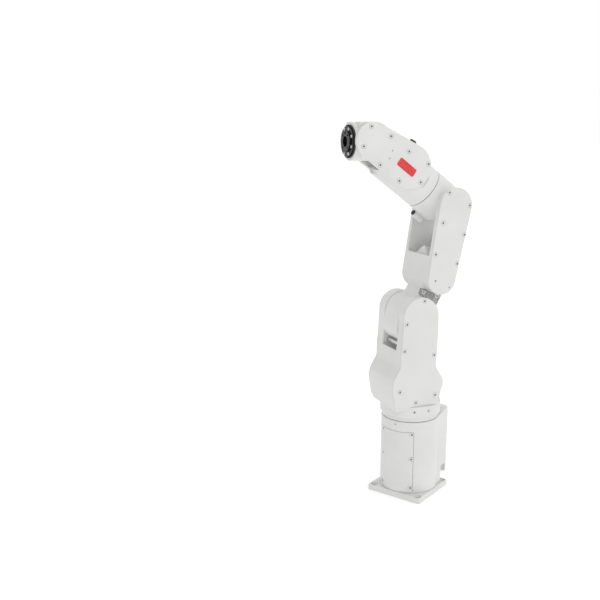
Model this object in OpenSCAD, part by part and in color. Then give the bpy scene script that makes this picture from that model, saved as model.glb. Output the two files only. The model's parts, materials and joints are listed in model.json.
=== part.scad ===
// Collaborative robot arm: six hinged joints, cast shells, bolted covers and one drive in each joint.
// Millimetres. Origin: centre of the mounting plate's underside, on the vertical axis. +Z up, +X to the front.

/* [Base] */
// Side of the square mounting plate
plate_w = 120; // [118:1:130]
// Thickness of the mounting plate
plate_t = 12; // [10:1:13]
// Spacing of the four anchor holes
plate_pitch = 102; // [100:1:104]
// Diameter of an anchor hole
plate_hole_d = 9; // [6.6:0.1:10]
// Outside radius of the round base column
column_r = 58.5; // [57.5:0.5:59.5]

/* [Upper links] */
// Lean of the lower arm towards the back, in degrees
lower_tilt = 17.55; // [14:0.05:20]
// Rise of the forearm above level, in degrees
fore_rise = 36.5; // [32:0.5:40]
// Turn of the whole arm about the vertical axis, in degrees
turn = -32; // [-90:1:90]

/* [Tool flange] */
// Diameter of the tool flange's boss
flange_d = 40; // [38:0.5:42]
// Pitch circle of the four tool screws
flange_pcd = 31.5; // [30:0.5:32]
// Diameter of the centring bore in the flange
pilot_d = 20; // [18:0.5:21]

/* [Hidden] */
$fn = 72;
eps = 0.02;
gap = 0.05;
column_top = 163;
rear_x = -73;
rear_plate_t = 8;
j2_x = 10;
j2_z = 380;
link_len = 225;
fore_len = 205;
j3_x = j2_x - link_len * sin(lower_tilt);
j3_z = j2_z + link_len * cos(lower_tilt);
// half-widths of the shoulder fork, the elbow fork (right and left cheek) and the wrist fork
ear_in = 30.3;
ear_out = 52;
fork_in = 43.6;
fork_out = 53.4;
fork_far = 49.1;
hand_in = 32.6;
hand_out = 38.8;
wrist_half = 32;
// faces of the wrist collar and of the tool flange, from the bend axis
collar_x = 37.5;
tool_face = 46.5;
badge_w = 42;
badge_h = 16;
// M5 socket screws
screw_head_r = 4.1;
screw_head_h = 2;
screw_r = 2;
screw_len = 6;
// housing radius and depth of the drive in each joint
drive1 = [44, 40];
drive2 = [29, 19.6];
drive3 = [27, 20];
drive4 = [36, 23];
drive5 = [20, 17];
drive6 = [28, 16];

// ---------- placing helpers ----------

module at_swing() rotate([0, 0, turn]) children();
module at_lower() at_swing() translate([j2_x, 0, j2_z]) rotate([0, -lower_tilt, 0]) children();
module at_fore() at_swing() translate([j3_x, 0, j3_z]) rotate([0, -fore_rise, 0]) children();
module at_wrist() at_fore() translate([fore_len, 0, 0]) rotate([0, fore_rise, 0]) children();

module at_drive1() translate([0, 0, column_top]) children();
module at_drive2() at_swing() translate([j2_x, ear_in, j2_z]) rotate([90, 0, 0]) children();
module at_drive3() at_fore() translate([0, 43.3, 0]) rotate([-90, 0, 0]) children();
module at_drive4() at_fore() translate([52.5, 0, 0]) rotate([0, 90, 0]) children();
module at_drive5() at_wrist() translate([0, wrist_half, 0]) rotate([-90, 0, 0]) children();
module at_drive6() at_wrist() translate([collar_x, 0, 0]) rotate([0, 90, 0]) children();

// plate from y0 to y1 whose outline is drawn in the x-z plane
module slab(y0, y1) translate([0, y1, 0]) rotate([90, 0, 0]) linear_extrude(y1 - y0) children();

// cylinder along y between y0 and y1
module rod_y(r, y0, y1, x = 0, z = 0) translate([x, y1, z]) rotate([90, 0, 0]) cylinder(r = r, h = y1 - y0);

// cylinder along x between x0 and x1
module rod_x(r, x0, x1) translate([x0, 0, 0]) rotate([0, 90, 0]) cylinder(r = r, h = x1 - x0);

// children at each point of a side face, pointing outwards
module on_side(points, side, y)
  for (p = points)
    translate([p[0], side * y, p[1]])
      rotate([-90 * side, 0, 0])
        children();

// plate from y0 to y1 with two round ends of radius r1 and r2 and straight sides that meet them smoothly
module bar(y0, y1, c1, r1, c2, r2) {
  v = c2 - c1;
  d = norm(v);
  e = v / d;
  n = [-e[1], e[0]];
  k = (r1 - r2) / d;
  s = sqrt(1 - k * k);
  a = r1 - 0.03;
  b = r2 - 0.03;
  rod_y(r1, y0, y1, c1[0], c1[1]);
  rod_y(r2, y0, y1, c2[0], c2[1]);
  slab(y0, y1)
    polygon([c1 + a * (k * e + s * n), c2 + b * (k * e + s * n),
      c2 + b * (k * e - s * n), c1 + a * (k * e - s * n)]);
}

// ---------- fasteners ----------

module cap_screw() {
  difference() {
    cylinder(r = screw_head_r, h = screw_head_h);
    translate([0, 0, 0.8]) cylinder(r = 2.3, h = 2, $fn = 6);
  }
  translate([0, 0, -screw_len]) cylinder(r = screw_r, h = screw_len + eps);
}

module screw_hole() {
  translate([0, 0, -screw_len - 0.4]) cylinder(r = screw_r + gap, h = screw_len + 1);
  cylinder(r = screw_head_r + 0.5, h = 8);
}

// ---------- joint drive: flat motor, strain-wave gear and ring bearing, output towards +z ----------

module drive_bearing(d) {
  color("silver")
  difference() {
    translate([0, 0, -0.25 * d[1]]) cylinder(r = d[0], h = 0.25 * d[1] - 0.1);
    translate([0, 0, -d[1]]) cylinder(r = 0.8 * d[0], h = 2 * d[1]);
  }
}

module drive_stator(d) {
  color("dimgray")
  difference() {
    translate([0, 0, -d[1]]) cylinder(r = d[0], h = 0.75 * d[1] - 0.1);
    translate([0, 0, -0.63 * d[1]]) cylinder(r = 0.66 * d[0], h = d[1]);
    translate([0, 0, -d[1] + 1.5]) cylinder(r = 0.5 * d[0], h = d[1]);
    translate([0, 0, -d[1] - 1]) cylinder(r = 0.2 * d[0], h = d[1]);
  }
}

module drive_rotor(d) {
  color("gray")
  union() {
    translate([0, 0, -0.56 * d[1]]) cylinder(r = 0.66 * d[0] - 2, h = 0.24 * d[1]);
    translate([0, 0, -d[1] + 2.2]) cylinder(r = 0.5 * d[0] - 0.6, h = 0.37 * d[1] - 2.6);
    translate([0, 0, -d[1] + 0.5]) cylinder(r = 0.12 * d[0], h = 0.69 * d[1]);
  }
}

module drive_output(d, reach) {
  color("lightgray")
  difference() {
    union() {
      translate([0, 0, -0.25 * d[1]]) cylinder(r = 0.8 * d[0] - 0.05, h = 0.25 * d[1] + reach);
      translate([0, 0, -0.6 * d[1]]) cylinder(r = 0.66 * d[0] - 0.4, h = 0.4 * d[1]);
    }
    translate([0, 0, -d[1]]) cylinder(r = 0.66 * d[0] - 1.6, h = 0.8 * d[1]);
    translate([0, 0, -d[1]]) cylinder(r = 0.16 * d[0], h = 3 * d[1]);
  }
}

// room for the drive's fixed rings in the casting that carries it
module drive_seat(d) {
  translate([0, 0, -d[1] - 0.1]) cylinder(r = d[0] + gap, h = d[1] + 4);
}

// room for the output flange in the casting it turns
module output_seat(d, reach) {
  translate([0, 0, -3]) cylinder(r = 0.8 * d[0], h = reach + 3.1);
}

// ---------- base ----------

module rear_outline() {
  translate([rear_x + 12, -54]) square([-12 - rear_x, 108]);
  translate([rear_x, -42]) square([20, 84]);
  for (s = [-1, 1])
    translate([rear_x + 12, s * 42]) circle(r = 12);
}

// round column with a squarer block behind it, chamfered below and raised behind the turntable
module column_body() {
  translate([0, 0, plate_t]) cylinder(r = column_r, h = column_top - plate_t, $fn = 120);
  intersection() {
    translate([0, 0, plate_t]) linear_extrude(170) rear_outline();
    slab(-60, 60)
      polygon([[-44, plate_t], [rear_x - 2, 42], [rear_x - 2, 171], [-60, 171], [-34, column_top],
        [0, column_top], [0, plate_t]]);
  }
}

module anchor_points()
  for (x = [-1, 1], y = [-1, 1])
    translate([x * plate_pitch / 2, y * plate_pitch / 2, 0])
      children();

module base_plate() {
  color("whitesmoke")
  difference() {
    translate([-plate_w / 2, -plate_w / 2, 0]) cube([plate_w, plate_w, plate_t]);
    anchor_points() translate([0, 0, -1]) cylinder(d = plate_hole_d, h = plate_t + 2);
    anchor_points() translate([0, 0, plate_t - 3]) cylinder(d = plate_hole_d + 7, h = 4);
    translate([0, 0, -1]) cylinder(r = 34, h = plate_t + 2);
    for (s = [-1, 1])
      translate([s * plate_pitch / 2, 0, -1]) cylinder(r = 3, h = 7);
  }
}

cover_screw_angles = [-34.5, 34.5];
cover_screw_heights = [24, 85.5, 138];

module at_cover_screws()
  for (a = cover_screw_angles, z = cover_screw_heights)
    rotate([0, 0, a]) translate([column_r - 1.5, 0, z]) rotate([0, 90, 0]) children();

module wedge_sector(half_angle, r, z0, z1) {
  translate([0, 0, z0])
    linear_extrude(z1 - z0)
      polygon([[0, 0], [r * cos(half_angle), -r * sin(half_angle)], [r * 1.4, 0],
        [r * cos(half_angle), r * sin(half_angle)]]);
}

module base_housing() {
  color("whitesmoke")
  difference() {
    column_body();
    translate([0, 0, column_top]) cylinder(r = 58.2, h = 20);
    for (s = [-1, 1])
      translate([-plate_pitch / 2, s * plate_pitch / 2, plate_t - 1]) cylinder(r = 9.5, h = 36);
    // hollow inside
    translate([0, 0, plate_t - 1]) cylinder(r = column_r - 9, h = 104);
    translate([rear_x + 5.5, -44, 46]) cube([55, 88, 62]);
    // seat of the turntable drive
    at_drive1() drive_seat(drive1);
    translate([0, 0, 114]) cylinder(r = 34, h = 20);
    // recess and window behind the front cover
    difference() {
      wedge_sector(38.4, 90, plate_t + 1, 142);
      cylinder(r = column_r - 3.6, h = 200);
    }
    difference() {
      wedge_sector(28, 90, 22, 112);
      cylinder(r = 30, h = 200);
    }
    at_cover_screws() screw_hole();
    // window behind the rear connector plate
    translate([-80, -32, 56]) cube([30, 64, 30]);
    translate([-80, -32, 108]) cube([30, 64, 40]);
    at_rear_screws() screw_hole();
    // small plug hole under the turntable joint
    translate([column_r - 3, 0, 156]) rotate([0, 90, 0]) cylinder(r = 2, h = 5);
  }
}

module base_front_cover() {
  color("whitesmoke")
  difference() {
    intersection() {
      difference() {
        cylinder(r = column_r + 0.4, h = 141.6, $fn = 120);
        translate([0, 0, -1]) cylinder(r = column_r - 3.5, h = 150, $fn = 120);
      }
      wedge_sector(38, 90, plate_t + 1.4, 141.6);
    }
    at_cover_screws() screw_hole();
  }
}

module base_cover_screws() {
  color("dimgray")
  at_cover_screws() cap_screw();
}

rear_screw_points = [[-36, 52], [36, 52], [-36, 92], [36, 92], [-36, 108], [36, 108], [-36, 150], [36, 150]];

module at_rear_screws()
  for (p = rear_screw_points)
    translate([rear_x - 3, p[0], p[1]]) rotate([0, -90, 0]) children();

module rear_plate(z0, z1) {
  difference() {
    translate([rear_x - 0.1 - rear_plate_t, -46, z0]) cube([rear_plate_t, 92, z1 - z0]);
    translate([rear_x - 5.5, -29, z0 + 7]) cube([10, 58, z1 - z0 - 14]);
  }
}

module rear_connector_plate() {
  color("whitesmoke")
  difference() {
    rear_plate(101, 157);
    at_rear_screws() screw_hole();
    at_power() cylinder(r = 13.1, h = 30, center = true);
    at_signal() cylinder(r = 8.6, h = 30, center = true);
    at_air() cylinder(r = 3.6, h = 30, center = true);
  }
}

module rear_lower_cover() {
  color("whitesmoke")
  difference() {
    rear_plate(44, 98);
    at_rear_screws() screw_hole();
  }
}

module rear_plate_screws() {
  color("dimgray")
  at_rear_screws() cap_screw();
}

module at_power() translate([rear_x - 6.6, -14, 128]) rotate([0, -90, 0]) children();
module at_signal() translate([rear_x - 6.6, 17, 135]) rotate([0, -90, 0]) children();
module at_air() for (i = [0 : 3]) translate([rear_x - 6.6, 1 + 8.5 * i, 114]) rotate([0, -90, 0]) children();

// round flanged plug socket with pins
module round_socket(r, length, pins) {
  difference() {
    union() {
      translate([0, 0, -6]) cylinder(r = r, h = 6 + length);
      translate([0, 0, 1.6]) cylinder(r = r + 2, h = 2.4);
    }
    translate([0, 0, 3]) cylinder(r = r - 1.6, h = length);
  }
  for (i = [0 : pins - 1])
    rotate([0, 0, i * 360 / pins]) translate([r * 0.5, 0, 2.5]) cylinder(r = 0.9, h = length - 5);
}

module power_connector() {
  color("black")
  at_power() round_socket(13, 16, 8);
}

module signal_connector() {
  color("black")
  at_signal() round_socket(8.5, 14, 5);
}

module air_couplings() {
  color("silver")
  at_air()
    difference() {
      union() {
        translate([0, 0, -6]) cylinder(r = 3.5, h = 14);
        translate([0, 0, 1.6]) cylinder(r = 4.1, h = 4, $fn = 6);
      }
      translate([0, 0, -4]) cylinder(r = 2, h = 20);
    }
}

module j1_bearing_ring() at_drive1() drive_bearing(drive1);
module j1_drive_stator() at_drive1() drive_stator(drive1);
module j1_rotor() at_drive1() drive_rotor(drive1);
module j1_output_flange() at_drive1() drive_output(drive1, 8);

// ---------- swing: turntable and shoulder fork ----------

// side outline of the shoulder fork
module ear_outline() {
  polygon([[60, 190], [64.5, 208], [68, 227], [68.8, 240], [67.5, 254], [59, 269], [53.5, 278], [52, 287], [52, 307],
    [49.5, 337], [47.8, 377], [10, 380], [-28, 377], [-28.6, 350], [-27.6, 320], [-25.7, 279], [-28, 272],
    [-33, 264], [-41, 252], [-43, 244], [-42.5, 235], [-39, 225.5], [-31, 190]]);
  translate([j2_x, j2_z]) circle(r = 38);
}

swing_screws = [[41, 367], [45, 313], [53, 231], [17, 205], [-26, 217], [-21, 300], [4, 411]];

module swing_housing() {
  color("whitesmoke")
  at_swing() {
    swing_casting();
    // wall behind the fork's opening
    slab(-ear_in - eps, ear_in + eps) polygon([[-26.4, 290], [-17, 290], [-17, 312], [-27, 320]]);
  }
}

module swing_casting() {
  difference() {
    union() {
      translate([0, 0, column_top + 0.5]) cylinder(r = 57, h = 12);
      intersection() {
        translate([0, 0, 173]) cylinder(r = 61.5, h = 23.6, $fn = 120);
        translate([-80, -59.5, 150]) cube([160, 119, 80]);
      }
      slab(-ear_out, ear_out) ear_outline();
    }
    // slot for the lower arm, concave at the crotch
    rod_y(81, -ear_in, ear_in, j2_x, j2_z);
    translate([-70, -ear_in, j2_z]) cube([160, 2 * ear_in, 60]);
    // hollow inside, open to the turntable
    translate([-24, -42, 180]) cube([68, 84, 84]);
    translate([-14, -42, 200]) cube([56, 84, 88]);
    translate([0, 0, 160]) cylinder(r = 24, h = 30);
    translate([0, 0, column_top - 1]) cylinder(r = 0.8 * drive1[0] + gap, h = 9.1);
    // drive seat in one ear, bearing seat in the other
    rod_y(drive2[0] + gap, ear_in - 1, ear_in + drive2[1] + 0.1, j2_x, j2_z);
    rod_y(22 + gap, -46, -ear_in + 1, j2_x, j2_z);
    // wiring ducts up both ears
    for (s = [-1, 1])
      translate([2, s > 0 ? 34 : -44, 286]) cube([16, 10, 90]);
    for (s = [-1, 1])
      on_side(swing_screws, s, ear_out + 1.2) screw_hole();
    // seat of the pin that ties both ears
    rod_y(4 + gap, -40, 40, 36, 318);
    // plug holes in the skirt
    for (a = [70, 100, -70, -100])
      rotate([0, 0, a]) translate([59, 0, 186]) rotate([0, 90, 0]) cylinder(r = 2.2, h = 6, center = true);
  }
}

module swing_cover(s) {
  color("whitesmoke")
  at_swing()
  difference() {
    slab(s > 0 ? ear_out + 0.1 : -ear_out - 3, s > 0 ? ear_out + 3 : -ear_out - 0.1)
      difference() {
        ear_outline();
        translate([-60, 150]) square([140, 47]);
      }
    on_side(swing_screws, s, ear_out + 1.2) screw_hole();
  }
}

module swing_cover_right() swing_cover(1);
module swing_cover_left() swing_cover(-1);

module swing_cover_screws() {
  color("dimgray")
  at_swing()
    for (s = [-1, 1])
      on_side(swing_screws, s, ear_out + 1.2) cap_screw();
}

module fork_tie_pin() {
  color("silver")
  at_swing() rod_y(4, -40, 40, 36, 318);
}

module j2_support_bearing() {
  color("silver")
  at_swing()
  difference() {
    rod_y(22, -45.9, -ear_in - 0.3, j2_x, j2_z);
    rod_y(15, -60, 0, j2_x, j2_z);
  }
}

module j2_bearing_ring() at_drive2() drive_bearing(drive2);
module j2_drive_stator() at_drive2() drive_stator(drive2);
module j2_rotor() at_drive2() drive_rotor(drive2);
module j2_output_flange() at_drive2() drive_output(drive2, 6);

// ---------- lower arm ----------

// plate in the outline of the elbow fork
module fork_plate(y0, y1) bar(y0, y1, [0, link_len], 35, [-18, 81], 30);

// half-width of the lower arm's casting on one side
function fork_side(s) = s > 0 ? fork_out : fork_far;

lower_screws = [[23, 245], [16.5, 186], [11.5, 124], [-29, 234], [-37, 177], [-41, 119]];
lower_plug_holes = [[-5, 75], [-39.5, 70]];

module lower_side_holes(s) {
  on_side(lower_screws, s, fork_side(s) + 1.2) screw_hole();
  on_side(lower_plug_holes, s, fork_side(s) - 2) cylinder(r = 1.6, h = 9);
}

module lower_arm_frame() {
  color("whitesmoke")
  at_lower()
  difference() {
    union() {
      // hinge barrel, longer towards the fork's crotch
      bar(-29.9, 29.9, [0, 0], 36, [2.4, -29.9], 30);
      slab(-29.9, 29.9)
        polygon([[-35, 8], [-46, 50], [-46, 84], [12, 84], [7, 62], [3, 51], [5, 42], [14, 32], [34, 10]]);
      difference() {
        fork_plate(-fork_far, fork_out);
        // room for the elbow drum, down to a peaked web
        rod_y(108, -fork_in, fork_in, 0, link_len);
        translate([-80, -fork_in, link_len]) cube([160, 2 * fork_in, 80]);
      }
      // wall behind the opening
      slab(-fork_in - eps, fork_in + eps) polygon([[-45.5, 100], [-38, 100], [-37.5, 165], [-41.5, 165]]);
      rod_y(14.95, -44, -29);
      web_peak();
    }
    // hollow inside
    slab(-18, 18) polygon([[-24, 36], [-34, 84], [-30, 104], [4, 104], [0, 84], [-2, 56], [4, 36]]);
    slab(-38, 38) polygon([[-38, 88], [-34, 104], [6, 104], [2, 88]]);
    rod_y(26, -22, 18);
    bar(46.5, 60, [-6, 176], 13, [-13, 110], 15);
    // seat of the shoulder output flange
    rod_y(0.8 * drive2[0], 24.2, 40);
    // elbow output flange seat and support bore
    rod_y(0.8 * drive3[0], 40, 49.2, 0, link_len);
    rod_y(12, -60, -40, 0, link_len);
    for (s = [-1, 1])
      lower_side_holes(s);
    slab(24.9, 31) neck_clamp_outline(0.1);
    on_side(neck_screws_at, 1, 27.8) screw_hole();
  }
}

// ridge in the middle of the web between the cheeks
module web_peak()
  translate([-30, 0, 110])
    rotate([90, 0, 90])
      linear_extrude(40)
        polygon([[-34, 0], [34, 0], [3, 26], [-3, 26]]);

module lower_cover(s) {
  y = fork_side(s);
  color("whitesmoke")
  at_lower()
  difference() {
    fork_plate(s > 0 ? y + 0.1 : -y - 3.4, s > 0 ? y + 3.4 : -y - 0.1);
    lower_side_holes(s);
  }
}

module lower_cover_right() lower_cover(1);
module lower_cover_left() lower_cover(-1);

module lower_cover_screws() {
  color("dimgray")
  at_lower()
    for (s = [-1, 1])
      on_side(lower_screws, s, fork_side(s) + 1.2) cap_screw();
}

neck_screws_at = [[-3.5, 46.5], [-35.5, 46.5]];

module neck_clamp_outline(margin)
  polygon([[5 + margin, 40.5 - margin], [5 + margin, 52.8 + margin], [-42 - margin, 52.8 + margin],
    [-41 - margin, 29 - margin]]);

module neck_clamp() {
  color("silver")
  at_lower()
  difference() {
    slab(25, 29.8) neck_clamp_outline(0);
    for (x = [-27 : 4 : -11])
      translate([x, 28.9, 20]) cube([1.8, 2, 40]);
    on_side(neck_screws_at, 1, 27.8) screw_hole();
  }
}

module neck_screws() {
  color("dimgray")
  at_lower() on_side(neck_screws_at, 1, 27.8) cap_screw();
}

// ---------- elbow ----------

module elbow_housing() {
  color("whitesmoke")
  at_fore()
  difference() {
    union() {
      rod_y(34.6, -43.3, 43.3);
      rod_x(42.8, 4, 52.5);
      rod_y(11.95, -fork_far + 0.5, -43);
      at_port() translate([0, 0, -24]) cylinder(r = 7, h = 24);
    }
    // drive seats
    rod_y(drive3[0] + gap, 43.3 - drive3[1] - 0.1, 60);
    rod_x(drive4[0] + gap, 52.5 - drive4[1] - 0.1, 60);
    // hollow inside and cable bore through the support stub
    rod_y(27, -38, 20);
    rod_y(7, -60, -30);
    // cable port under the drum
    at_port() cylinder(r = 3.55, h = 12, center = true);
  }
}

module at_port() translate([33, -14, -46.6]) rotate([0, 90, 0]) children();

module elbow_port_plug() {
  color("black")
  at_fore() at_port()
    difference() {
      union() {
        translate([0, 0, -5]) cylinder(r = 3.5, h = 6);
        translate([0, 0, 0.1]) cylinder(r = 4.8, h = 3);
      }
      translate([0, 0, 1.2]) cylinder(r = 2.6, h = 8);
    }
}

module j3_bearing_ring() at_drive3() drive_bearing(drive3);
module j3_drive_stator() at_drive3() drive_stator(drive3);
module j3_rotor() at_drive3() drive_rotor(drive3);
module j3_output_flange() at_drive3() drive_output(drive3, 5.8);
module j4_bearing_ring() at_drive4() drive_bearing(drive4);
module j4_drive_stator() at_drive4() drive_stator(drive4);
module j4_rotor() at_drive4() drive_rotor(drive4);
module j4_output_flange() at_drive4() drive_output(drive4, 10);

// ---------- forearm ----------

// plate in the outline of the forearm's right side, which is deeper, or of its left side
module fore_plate(s, y0, y1)
  if (s > 0) bar(y0, y1, [119, 5.5], 42.4, [212, -3], 34);
  else bar(y0, y1, [119, 1], 31, [fore_len, 0], 30);

fore_screws_right = [[231, 15], [221.5, -23], [187.5, 24.8], [173.8, -30], [140.2, 25], [123.3, -30],
  [84.5, -6], [92, 31]];
fore_screws_left = [[229, 0], [207, 22], [207, -22], [165, 24], [165, -24], [119, -24], [119, 26], [95, 1]];
fore_plug_holes = [[169, 6], [165, -9]];

function fore_screws(s) = s > 0 ? fore_screws_right : fore_screws_left;

module at_fore_screws(s) on_side(fore_screws(s), s, hand_out + 1.2) children();

module forearm_housing() {
  color("whitesmoke")
  at_fore()
  difference() {
    union() {
      // round body, flat where the side covers lie
      rod_x(42.3, 53.2, 74);
      intersection() {
        rod_x(42.3, 53.2, 160);
        translate([50, -hand_out, -50]) cube([150, 2 * hand_out, 100]);
      }
      fore_plate(1, 0, hand_out);
      fore_plate(-1, -hand_out, 0);
      // connector pad and lug on top
      translate([101, -22, 30]) cube([40, 44, 17]);
      rod_y(9, -12, 16, 150, 37.5);
    }
    // fork slot for the wrist
    rod_y(53, -hand_in, hand_in, fore_len);
    translate([fore_len, -hand_in, -60]) cube([80, 2 * hand_in, 120]);
    // hollow inside with a cable hole to the elbow
    rod_x(35.5, 70, 140);
    rod_x(12, 60, 160);
    bar(3, 34, [112, 8], 36, [138, 4], 34);
    // output flange seats and support bore
    rod_x(0.8 * drive4[0], 50, 63.1);
    rod_y(0.8 * drive5[0], 20, 37.1, fore_len);
    rod_y(9, -60, -20, fore_len);
    for (s = [-1, 1])
      at_fore_screws(s) screw_hole();
    at_fore_signal() cylinder(r = 7.05, h = 12, center = true);
    at_fore_air() cylinder(r = 3.05, h = 12, center = true);
  }
}

module forearm_cover(s) {
  color("whitesmoke")
  at_fore()
  difference() {
    fore_plate(s, s > 0 ? hand_out + 0.1 : -hand_out - 3.2, s > 0 ? hand_out + 3.2 : -hand_out - 0.1);
    at_fore_screws(s) screw_hole();
    at_badge(s) linear_extrude(4) badge_outline(0.1);
    if (s > 0)
      on_side(fore_plug_holes, s, hand_out) cylinder(r = 1.4, h = 9);
  }
}

module forearm_cover_right() forearm_cover(1);
module forearm_cover_left() forearm_cover(-1);

module forearm_cover_screws() {
  color("dimgray")
  at_fore()
    for (s = [-1, 1])
      at_fore_screws(s) cap_screw();
}

module at_badge(s) on_side([[126, -1]], s, hand_out + 2.1) children();

// rounded plate
module badge_outline(margin) {
  r = 3 + margin;
  x = badge_w / 2 - 3;
  y = badge_h / 2 - 3;
  square([2 * x, 2 * (y + r)], center = true);
  square([2 * (x + r), 2 * y], center = true);
  for (i = [-1, 1], j = [-1, 1])
    translate([i * x, j * y]) circle(r = r);
}

module forearm_badges() {
  color("firebrick")
  at_fore()
    for (s = [-1, 1])
      at_badge(s) linear_extrude(1.4) badge_outline(0);
}

module at_fore_signal() translate([122, -10, 47]) children();
module at_fore_air() for (u = [106, 136]) translate([u, -10, 47]) children();

module forearm_signal_connector() {
  color("black")
  at_fore() at_fore_signal() round_socket(7, 15, 5);
}

module forearm_air_fittings() {
  color("dimgray")
  at_fore() at_fore_air()
    difference() {
      union() {
        translate([0, 0, -5]) cylinder(r = 3, h = 15);
        translate([0, 0, 0.3]) cylinder(r = 4.4, h = 5, $fn = 6);
      }
      translate([0, 0, -3]) cylinder(r = 1.8, h = 20);
    }
}

// ---------- wrist and tool flange ----------

module wrist_housing() {
  color("whitesmoke")
  at_wrist()
  difference() {
    union() {
      slab(-wrist_half, wrist_half) {
        circle(r = 36);
        translate([0, -20]) square([30, 56]);
      }
      intersection() {
        rod_x(36, 0, collar_x);
        translate([0, -wrist_half, -40]) cube([collar_x, 2 * wrist_half, 80]);
      }
      rod_y(8.95, -37, -wrist_half + eps);
    }
    rod_y(drive5[0] + gap, wrist_half - drive5[1] - 0.1, 60);
    rod_x(drive6[0] + gap, collar_x - drive6[1] - 0.1, 60);
    rod_y(17, -26, wrist_half - drive5[1]);
    rod_y(5, -60, -10);
  }
}

module j5_bearing_ring() at_drive5() drive_bearing(drive5);
module j5_drive_stator() at_drive5() drive_stator(drive5);
module j5_rotor() at_drive5() drive_rotor(drive5);
module j5_output_flange() at_drive5() drive_output(drive5, 5);
module j6_bearing_ring() at_drive6() drive_bearing(drive6);
module j6_drive_stator() at_drive6() drive_stator(drive6);
module j6_rotor() at_drive6() drive_rotor(drive6);

module j6_seal_ring() {
  color("black")
  at_wrist()
  difference() {
    rod_x(30.8, collar_x + 0.1, collar_x + 3);
    rod_x(29.2, 30, 60);
  }
}

// tool holes lie in the boss, flange screws in the wider disc behind it
disc_face = tool_face - 3.5;

module tool_flange() {
  color("dimgray")
  at_wrist()
  difference() {
    union() {
      translate([collar_x, 0, 0]) rotate([0, 90, 0]) drive_output(drive6, 0.5 + eps);
      rod_x(28.5, collar_x + 0.5, disc_face);
      rod_x(flange_d / 2, disc_face - eps, tool_face);
    }
    rod_x(pilot_d / 2, tool_face - 6, 60);
    rod_x(0.16 * drive6[0], 20, 60);
    for (i = [0 : 3])
      rotate([45 + 90 * i, 0, 0]) translate([0, flange_pcd / 2, 0]) rod_x(2.1, tool_face - 9, 60);
    rotate([90, 0, 0]) translate([0, flange_pcd / 2, 0]) rod_x(2.5, tool_face - 6, 60);
    at_flange_screws() cylinder(r = 1.65, h = 20, center = true);
    at_flange_screws() translate([0, 0, -1.5]) cylinder(r = 2.9, h = 6);
  }
}

module at_flange_screws()
  for (i = [0 : 7])
    rotate([22.5 + 45 * i, 0, 0]) translate([disc_face, 24.4, 0]) rotate([0, 90, 0]) children();

module flange_screws() {
  color("silver")
  at_wrist() at_flange_screws()
    difference() {
      union() {
        translate([0, 0, -1.5]) cylinder(r = 2.7, h = 2.7);
        translate([0, 0, -4.4]) cylinder(r = 1.6, h = 3);
      }
      cylinder(r = 1.5, h = 3, $fn = 6);
    }
}

base_plate();
base_housing();
base_front_cover();
base_cover_screws();
rear_connector_plate();
rear_lower_cover();
rear_plate_screws();
power_connector();
signal_connector();
air_couplings();
j1_bearing_ring();
j1_drive_stator();
j1_rotor();
j1_output_flange();
swing_housing();
swing_cover_right();
swing_cover_left();
swing_cover_screws();
fork_tie_pin();
j2_support_bearing();
j2_bearing_ring();
j2_drive_stator();
j2_rotor();
j2_output_flange();
lower_arm_frame();
lower_cover_right();
lower_cover_left();
lower_cover_screws();
neck_clamp();
neck_screws();
elbow_housing();
elbow_port_plug();
j3_bearing_ring();
j3_drive_stator();
j3_rotor();
j3_output_flange();
j4_bearing_ring();
j4_drive_stator();
j4_rotor();
j4_output_flange();
forearm_housing();
forearm_cover_right();
forearm_cover_left();
forearm_cover_screws();
forearm_badges();
forearm_signal_connector();
forearm_air_fittings();
wrist_housing();
j5_bearing_ring();
j5_drive_stator();
j5_rotor();
j5_output_flange();
j6_seal_ring();
j6_bearing_ring();
j6_drive_stator();
j6_rotor();
tool_flange();
flange_screws();
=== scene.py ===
"""Looks of the six-axis robot arm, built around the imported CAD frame. Metres, row frame."""
import json
import math

import bpy
from mathutils import Matrix, Vector


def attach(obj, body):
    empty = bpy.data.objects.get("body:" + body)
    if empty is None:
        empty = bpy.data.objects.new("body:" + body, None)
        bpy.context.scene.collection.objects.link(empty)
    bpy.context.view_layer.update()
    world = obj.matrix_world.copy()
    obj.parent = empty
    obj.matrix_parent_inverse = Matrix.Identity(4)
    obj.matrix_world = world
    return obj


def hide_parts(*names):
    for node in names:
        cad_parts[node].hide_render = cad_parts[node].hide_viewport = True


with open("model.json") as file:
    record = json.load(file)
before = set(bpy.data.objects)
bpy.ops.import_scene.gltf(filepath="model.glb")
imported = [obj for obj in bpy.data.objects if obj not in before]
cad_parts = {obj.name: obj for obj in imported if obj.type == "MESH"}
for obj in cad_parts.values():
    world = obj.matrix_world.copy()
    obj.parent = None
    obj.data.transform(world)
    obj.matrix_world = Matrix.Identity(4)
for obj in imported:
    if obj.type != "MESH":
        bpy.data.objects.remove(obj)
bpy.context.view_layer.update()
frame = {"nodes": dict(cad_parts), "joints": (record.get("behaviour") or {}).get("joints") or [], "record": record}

NODES = frame["nodes"]
JOINTS = {joint["name"]: joint for joint in frame["joints"]}
BODY_OF = {node: body
           for body, members in frame["record"]["behaviour"]["bodies"].items()
           for node in members}
SLOT_OF = {sub["node"]: sub["material_slot"] for sub in frame["record"]["subparts"]}
UP = Vector((0, 0, 1))
SIDE = Vector(JOINTS["j2_shoulder"]["axis"])


# ---------- camera, floor and light ----------

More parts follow.
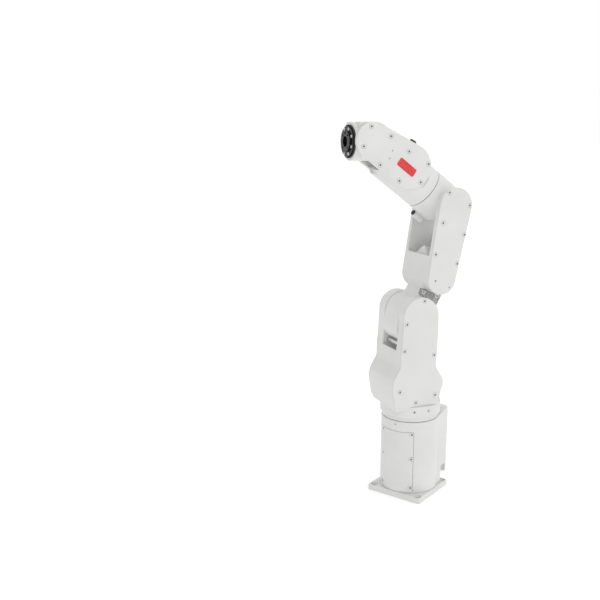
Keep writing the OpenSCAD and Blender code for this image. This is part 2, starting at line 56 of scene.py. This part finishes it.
def add_camera():
    """Long lens on the right-hand front of the arm, a little above its shoulder."""
    azimuth = math.radians(29.1)
    heading = azimuth + math.pi + math.radians(8.1)
    pitch = math.radians(11.5)
    distance = 1.615
    data = bpy.data.cameras.new("camera")
    data.lens = 48.6
    data.sensor_width = 36
    camera = bpy.data.objects.new("camera", data)
    camera.location = (distance * math.cos(azimuth), distance * math.sin(azimuth), 0.728)
    level = Vector((math.cos(heading), math.sin(heading), 0))
    look = level * math.cos(pitch) - UP * math.sin(pitch)
    camera.rotation_euler = look.to_track_quat("-Z", "Y").to_euler()
    bpy.context.scene.collection.objects.link(camera)
    bpy.context.scene.camera = camera


def add_area_light(name, place, target, size, power):
    data = bpy.data.lights.new(name, "AREA")
    data.shape = "DISK"
    data.size = size
    data.energy = power
    light = bpy.data.objects.new(name, data)
    light.location = place
    light.rotation_euler = (Vector(target) - Vector(place)).to_track_quat("-Z", "Y").to_euler()
    bpy.context.scene.collection.objects.link(light)


def studio_world():
    """White surroundings, dimmer to the arm's front left, so that its front stays greyer than its sides."""
    world = bpy.data.worlds.new("studio")
    world.use_nodes = True
    tree = world.node_tree
    place = tree.nodes.new("ShaderNodeTexCoord")
    toward = tree.nodes.new("ShaderNodeVectorMath")
    toward.operation = "DOT_PRODUCT"
    toward.inputs[1].default_value = (0.77, -0.64, 0.0)
    tree.links.new(place.outputs["Generated"], toward.inputs[0])
    colour = ramp(tree, toward.outputs["Value"], [(0.35, (1, 1, 1)), (0.95, (0.6, 0.6, 0.61))])
    tree.links.new(colour, tree.nodes["Background"].inputs["Color"])
    bpy.context.scene.world = world


def add_studio():
    """Pale floor and two large soft lights in white surroundings."""
    studio_world()
    bpy.context.scene.view_settings.view_transform = "Standard"
    middle = (0, 0, 0.4)
    add_area_light("key", (0.9, 1.9, 1.7), middle, 1.4, 3)
    add_area_light("top", (-0.4, 0.1, 2.3), middle, 1.2, 2)
    mesh = bpy.data.meshes.new("floor")
    half = 60.0
    corners = [(-half, -half, 0), (half, -half, 0), (half, half, 0), (-half, half, 0)]
    mesh.from_pydata(corners, [], [(0, 1, 2, 3)])
    floor = bpy.data.objects.new("floor", mesh)
    bpy.context.scene.collection.objects.link(floor)
    material = bpy.data.materials.new("pale_floor")
    material.use_nodes = True
    shader = material.node_tree.nodes["Principled BSDF"]
    shader.inputs["Base Color"].default_value = (0.9, 0.9, 0.9, 1)
    shader.inputs["Roughness"].default_value = 0.6
    shader.inputs["Emission Color"].default_value = (1, 1, 1, 1)
    shader.inputs["Emission Strength"].default_value = 0.22
    mesh.materials.append(material)


# ---------- materials ----------

def node_material(name, metallic=0.0, coat=0.0, specular=0.5):
    """New material with its node tree and principled shader."""
    material = bpy.data.materials.new(name)
    material.use_nodes = True
    tree = material.node_tree
    shader = tree.nodes["Principled BSDF"]
    shader.inputs["Metallic"].default_value = metallic
    shader.inputs["Coat Weight"].default_value = coat
    shader.inputs["Specular IOR Level"].default_value = specular
    return material, tree, shader


def noise(tree, scale, detail=3.0, stretch=None):
    """Noise in the frame's own coordinates, stretched where a brushed grain needs it."""
    place = tree.nodes.new("ShaderNodeTexCoord")
    texture = tree.nodes.new("ShaderNodeTexNoise")
    texture.inputs["Scale"].default_value = scale
    texture.inputs["Detail"].default_value = detail
    source = place.outputs["Object"]
    if stretch:
        mapping = tree.nodes.new("ShaderNodeMapping")
        mapping.inputs["Scale"].default_value = stretch
        tree.links.new(source, mapping.inputs["Vector"])
        source = mapping.outputs["Vector"]
    tree.links.new(source, texture.inputs["Vector"])
    return texture.outputs["Fac"]


def ramp(tree, value, stops):
    """Colour ramp over a value, from (position, colour) stops."""
    node = tree.nodes.new("ShaderNodeValToRGB")
    while len(node.color_ramp.elements) < len(stops):
        node.color_ramp.elements.new(0.5)
    for element, (position, colour) in zip(node.color_ramp.elements, stops):
        element.position = position
        element.color = (*colour, 1)
    tree.links.new(value, node.inputs["Fac"])
    return node.outputs["Color"]


def spread(tree, value, low, high):
    """Value from 0 to 1 mapped to low to high."""
    node = tree.nodes.new("ShaderNodeMapRange")
    node.inputs["From Min"].default_value = 0.3
    node.inputs["From Max"].default_value = 0.7
    node.inputs["To Min"].default_value = low
    node.inputs["To Max"].default_value = high
    tree.links.new(value, node.inputs["Value"])
    return node.outputs["Result"]


def bump(tree, shader, height, distance, strength):
    node = tree.nodes.new("ShaderNodeBump")
    node.inputs["Distance"].default_value = distance
    node.inputs["Strength"].default_value = strength
    tree.links.new(height, node.inputs["Height"])
    tree.links.new(node.outputs["Normal"], shader.inputs["Normal"])


def mix_colour(tree, factor, colour_a, colour_b):
    node = tree.nodes.new("ShaderNodeMix")
    node.data_type = "RGBA"
    tree.links.new(factor, node.inputs["Factor"])
    for socket, value in ((node.inputs[6], colour_a), (node.inputs[7], colour_b)):
        if isinstance(value, tuple):
            socket.default_value = (*value, 1)
        else:
            tree.links.new(value, socket)
    return node.outputs[2]


def white_paint():
    """Satin off-white powder coat: fine orange peel, faint clouding, and painted shade that darkens the concave
    corners and creases.
    """
    material, tree, shader = node_material("white_paint", specular=0.42)
    cloud = ramp(tree, noise(tree, 14, 4), [(0.3, (0.665, 0.665, 0.652)), (0.7, (0.715, 0.715, 0.703))])
    # Painted shade: where pointiness is low, in concave corners and creases, the paint colour is mixed towards a
    # darker grey (0.46).
    corner = tree.nodes.new("ShaderNodeNewGeometry")
    crease_shade_mask = ramp(tree, corner.outputs["Pointiness"], [(0.40, (1, 1, 1)), (0.49, (0, 0, 0))])
    shader_colour = mix_colour(tree, crease_shade_mask, cloud, (0.46, 0.46, 0.445))
    tree.links.new(shader_colour, shader.inputs["Base Color"])
    tree.links.new(spread(tree, noise(tree, 55, 3), 0.36, 0.5), shader.inputs["Roughness"])
    bump(tree, shader, noise(tree, 1500, 2), 0.00012, 0.35)
    return material


def screw_steel():
    """Zinc-plated screw steel: grey faces, a painted highlight that pales the convex rims and painted shade that
    turns the concave socket near black.
    """
    material, tree, shader = node_material("screw_steel", metallic=0.8)
    face = ramp(tree, noise(tree, 900, 3), [(0.3, (0.54, 0.54, 0.54)), (0.7, (0.76, 0.76, 0.75))])
    edge = tree.nodes.new("ShaderNodeNewGeometry")
    # Painted shade: low pointiness, in the concave socket, mixes the colour to near black (0.07).
    socket = ramp(tree, edge.outputs["Pointiness"], [(0.42, (1, 1, 1)), (0.5, (0, 0, 0))])
    # Painted highlight: high pointiness, on the convex rims, mixes the colour to pale grey (0.85).
    rim_highlight_mask = ramp(tree, edge.outputs["Pointiness"], [(0.5, (0, 0, 0)), (0.58, (1, 1, 1))])
    dark = mix_colour(tree, socket, face, (0.07, 0.07, 0.07))
    tree.links.new(mix_colour(tree, rim_highlight_mask, dark, (0.85, 0.85, 0.85)), shader.inputs["Base Color"])
    tree.links.new(spread(tree, noise(tree, 500, 2), 0.25, 0.5), shader.inputs["Roughness"])
    bump(tree, shader, noise(tree, 2500, 2), 0.00008, 0.3)
    return material


def bearing_steel():
    """Ground bearing steel with a fine circular grain."""
    material, tree, shader = node_material("bearing_steel", metallic=1.0)
    colour = ramp(tree, noise(tree, 300, 4), [(0.3, (0.5, 0.5, 0.51)), (0.7, (0.68, 0.68, 0.69))])
    tree.links.new(colour, shader.inputs["Base Color"])
    tree.links.new(spread(tree, noise(tree, 700, 3), 0.16, 0.3), shader.inputs["Roughness"])
    bump(tree, shader, noise(tree, 3000, 2), 0.00005, 0.25)
    return material


def bare_casting():
    """Unpainted cast aluminium, dull grey with a sandy skin."""
    material, tree, shader = node_material("bare_casting", metallic=0.9)
    colour = ramp(tree, noise(tree, 250, 5), [(0.25, (0.24, 0.24, 0.235)), (0.75, (0.5, 0.5, 0.49))])
    tree.links.new(colour, shader.inputs["Base Color"])
    tree.links.new(spread(tree, noise(tree, 400, 3), 0.42, 0.62), shader.inputs["Roughness"])
    bump(tree, shader, noise(tree, 1200, 4), 0.0002, 0.5)
    return material


def motor_aluminium():
    """Machined aluminium housing with a satin lathe finish."""
    material, tree, shader = node_material("motor_aluminium", metallic=1.0)
    colour = ramp(tree, noise(tree, 200, 4), [(0.3, (0.38, 0.385, 0.39)), (0.7, (0.56, 0.56, 0.57))])
    tree.links.new(colour, shader.inputs["Base Color"])
    tree.links.new(spread(tree, noise(tree, 600, 2), 0.28, 0.45), shader.inputs["Roughness"])
    bump(tree, shader, noise(tree, 2000, 2), 0.0001, 0.3)
    return material


def rotor_steel():
    """Laminated rotor steel, darker, with a faint heat tint."""
    material, tree, shader = node_material("rotor_steel", metallic=1.0)
    colour = ramp(tree, noise(tree, 90, 4), [(0.3, (0.3, 0.28, 0.27)), (0.7, (0.46, 0.46, 0.48))])
    tree.links.new(colour, shader.inputs["Base Color"])
    tree.links.new(spread(tree, noise(tree, 800, 2), 0.25, 0.4), shader.inputs["Roughness"])
    bump(tree, shader, noise(tree, 2500, 2), 0.00006, 0.3)
    return material


def output_steel():
    """Nickel-plated output flange."""
    material, tree, shader = node_material("output_steel", metallic=1.0)
    colour = ramp(tree, noise(tree, 160, 3), [(0.3, (0.55, 0.54, 0.52)), (0.7, (0.66, 0.65, 0.63))])
    tree.links.new(colour, shader.inputs["Base Color"])
    tree.links.new(spread(tree, noise(tree, 700, 2), 0.2, 0.34), shader.inputs["Roughness"])
    bump(tree, shader, noise(tree, 2600, 2), 0.00006, 0.25)
    return material


def flange_metal():
    """Hard-anodised tool flange: near black with a soft sheen and paler rubbed patches."""
    material, tree, shader = node_material("flange_metal", metallic=0.85)
    colour = ramp(tree, noise(tree, 180, 5), [(0.35, (0.02, 0.02, 0.021)), (0.75, (0.06, 0.06, 0.064))])
    tree.links.new(colour, shader.inputs["Base Color"])
    tree.links.new(spread(tree, noise(tree, 350, 3), 0.16, 0.32), shader.inputs["Roughness"])
    bump(tree, shader, noise(tree, 2200, 2), 0.00008, 0.3)
    return material


def black_plastic():
    """Glass-filled black nylon with a fine moulded grain."""
    material, tree, shader = node_material("black_plastic")
    colour = ramp(tree, noise(tree, 220, 3), [(0.3, (0.014, 0.014, 0.015)), (0.7, (0.032, 0.032, 0.034))])
    tree.links.new(colour, shader.inputs["Base Color"])
    tree.links.new(spread(tree, noise(tree, 500, 2), 0.38, 0.58), shader.inputs["Roughness"])
    bump(tree, shader, noise(tree, 2600, 3), 0.0001, 0.5)
    return material


def fitting_brass():
    """Nickel-plated brass fitting, warm grey, yellower where the plating is thin."""
    material, tree, shader = node_material("fitting_brass", metallic=1.0)
    colour = ramp(tree, noise(tree, 350, 4), [(0.3, (0.46, 0.4, 0.27)), (0.6, (0.58, 0.55, 0.48))])
    tree.links.new(colour, shader.inputs["Base Color"])
    tree.links.new(spread(tree, noise(tree, 600, 2), 0.2, 0.36), shader.inputs["Roughness"])
    bump(tree, shader, noise(tree, 2400, 2), 0.00008, 0.3)
    return material


def seal_rubber():
    """Black nitrile seal, matt with a dusty bloom."""
    material, tree, shader = node_material("seal_rubber", specular=0.35)
    colour = ramp(tree, noise(tree, 120, 4), [(0.3, (0.014, 0.014, 0.014)), (0.75, (0.04, 0.04, 0.039))])
    tree.links.new(colour, shader.inputs["Base Color"])
    tree.links.new(spread(tree, noise(tree, 300, 3), 0.55, 0.8), shader.inputs["Roughness"])
    bump(tree, shader, noise(tree, 1800, 3), 0.00012, 0.5)
    return material


def red_badge():
    """Glossy red enamel plate with a faint ripple."""
    material, tree, shader = node_material("red_badge", coat=0.5)
    colour = ramp(tree, noise(tree, 90, 3), [(0.3, (0.6, 0.012, 0.02)), (0.7, (0.74, 0.02, 0.03))])
    tree.links.new(colour, shader.inputs["Base Color"])
    tree.links.new(spread(tree, noise(tree, 200, 2), 0.24, 0.36), shader.inputs["Roughness"])
    bump(tree, shader, noise(tree, 700, 2), 0.0001, 0.2)
    return material


MAKERS = {
    "white_paint": white_paint, "screw_steel": screw_steel, "bearing_steel": bearing_steel,
    "bare_casting": bare_casting, "motor_aluminium": motor_aluminium, "rotor_steel": rotor_steel,
    "output_steel": output_steel, "flange_metal": flange_metal, "black_plastic": black_plastic,
    "fitting_brass": fitting_brass, "seal_rubber": seal_rubber, "red_badge": red_badge,
}


# ---------- local axes of the links ----------

def axes_matrix(origin, forward):
    """Frame at origin with x along forward and y along the common side axis."""
    x = Vector(forward).normalized()
    z = x.cross(SIDE).normalized()
    matrix = Matrix((x, SIDE, z)).transposed().to_4x4()
    matrix.translation = Vector(origin)
    return matrix


def link_axes():
    shoulder = Vector(JOINTS["j2_shoulder"]["pos_m"])
    elbow = Vector(JOINTS["j3_elbow"]["pos_m"])
    wrist = Vector(JOINTS["j5_bend"]["pos_m"])
    along = (elbow - shoulder).normalized()
    return {
        "base": Matrix.Identity(4),
        "swing": axes_matrix((0, 0, 0), SIDE.cross(UP)),
        "lower_arm": axes_matrix(shoulder, SIDE.cross(along)),
        "elbow": axes_matrix(elbow, JOINTS["j4_roll"]["axis"]),
        "forearm": axes_matrix(elbow, JOINTS["j4_roll"]["axis"]),
        "wrist": axes_matrix(wrist, JOINTS["j6_spin"]["axis"]),
        "tool": axes_matrix(wrist, JOINTS["j6_spin"]["axis"]),
    }


AXES = link_axes()


# ---------- pieces ----------

def evaluated_mesh(piece):
    """The piece's mesh with its modifiers applied."""
    graph = bpy.context.evaluated_depsgraph_get()
    graph.update()
    return bpy.data.meshes.new_from_object(piece.evaluated_get(graph))


def casting(node, voxel, smoothing, keep=0.3):
    """Cast piece in the place of a CAD node: same shape, with every edge and inner corner rounded."""
    axes = AXES[BODY_OF[node]]
    mesh = NODES[node].data.copy()
    mesh.transform(axes.inverted())
    piece = bpy.data.objects.new("cast_" + node, mesh)
    bpy.context.scene.collection.objects.link(piece)
    weld = piece.modifiers.new("weld", "WELD")
    weld.merge_threshold = 1e-6
    remesh = piece.modifiers.new("remesh", "REMESH")
    remesh.mode = "VOXEL"
    remesh.voxel_size = voxel
    relax = piece.modifiers.new("relax", "SMOOTH")
    relax.factor = 0.5
    relax.iterations = smoothing
    thin = piece.modifiers.new("thin", "DECIMATE")
    thin.ratio = keep
    final = evaluated_mesh(piece)
    piece.modifiers.clear()
    final.transform(axes)
    final.materials.clear()
    final.materials.append(MATERIALS[SLOT_OF[node]])
    final.shade_smooth()
    piece.data = final
    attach(piece, BODY_OF[node])
    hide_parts(node)
    return piece


def soften(node, width, segments=2, angle=32):
    """CAD node that stays, with its edges broken by a small bevel."""
    piece = NODES[node]
    piece.data.materials.clear()
    piece.data.materials.append(MATERIALS[SLOT_OF[node]])
    weld = piece.modifiers.new("weld", "WELD")
    weld.merge_threshold = 1e-6
    merge = piece.modifiers.new("merge_flats", "DECIMATE")
    merge.decimate_type = "DISSOLVE"
    merge.angle_limit = math.radians(0.5)
    bevel = piece.modifiers.new("edges", "BEVEL")
    bevel.width = width
    bevel.segments = segments
    bevel.limit_method = "ANGLE"
    bevel.angle_limit = math.radians(angle)
    piece.data.shade_smooth()
    normals = piece.modifiers.new("normals", "WEIGHTED_NORMAL")
    normals.keep_sharp = True
    return piece


MATERIALS = {}
add_camera()
add_studio()
for slot_name, maker in MAKERS.items():
    MATERIALS[slot_name] = maker()

# Voxel size in metres and number of smoothing passes of each casting.
CASTINGS = {
    "base_plate": (0.0008, 3), "base_housing": (0.001, 5), "swing_housing": (0.001, 8),
    "lower_arm_frame": (0.001, 8), "elbow_housing": (0.0009, 6), "forearm_housing": (0.001, 8),
    "wrist_housing": (0.0008, 6), "neck_clamp": (0.0004, 3),
}
COVER_VOXEL = 0.0005
COVER_PASSES = 4
EDGE_WIDTH = 0.00025
COVERS = ["base_front_cover", "rear_connector_plate", "rear_lower_cover", "swing_cover_right", "swing_cover_left",
          "lower_cover_right", "lower_cover_left", "forearm_cover_right", "forearm_cover_left"]
for node_name, (voxel_size, passes) in CASTINGS.items():
    casting(node_name, voxel_size, passes)
for node_name in COVERS:
    casting(node_name, COVER_VOXEL, COVER_PASSES)
for node_name in NODES:
    if node_name not in CASTINGS and node_name not in COVERS:
        soften(node_name, EDGE_WIDTH)
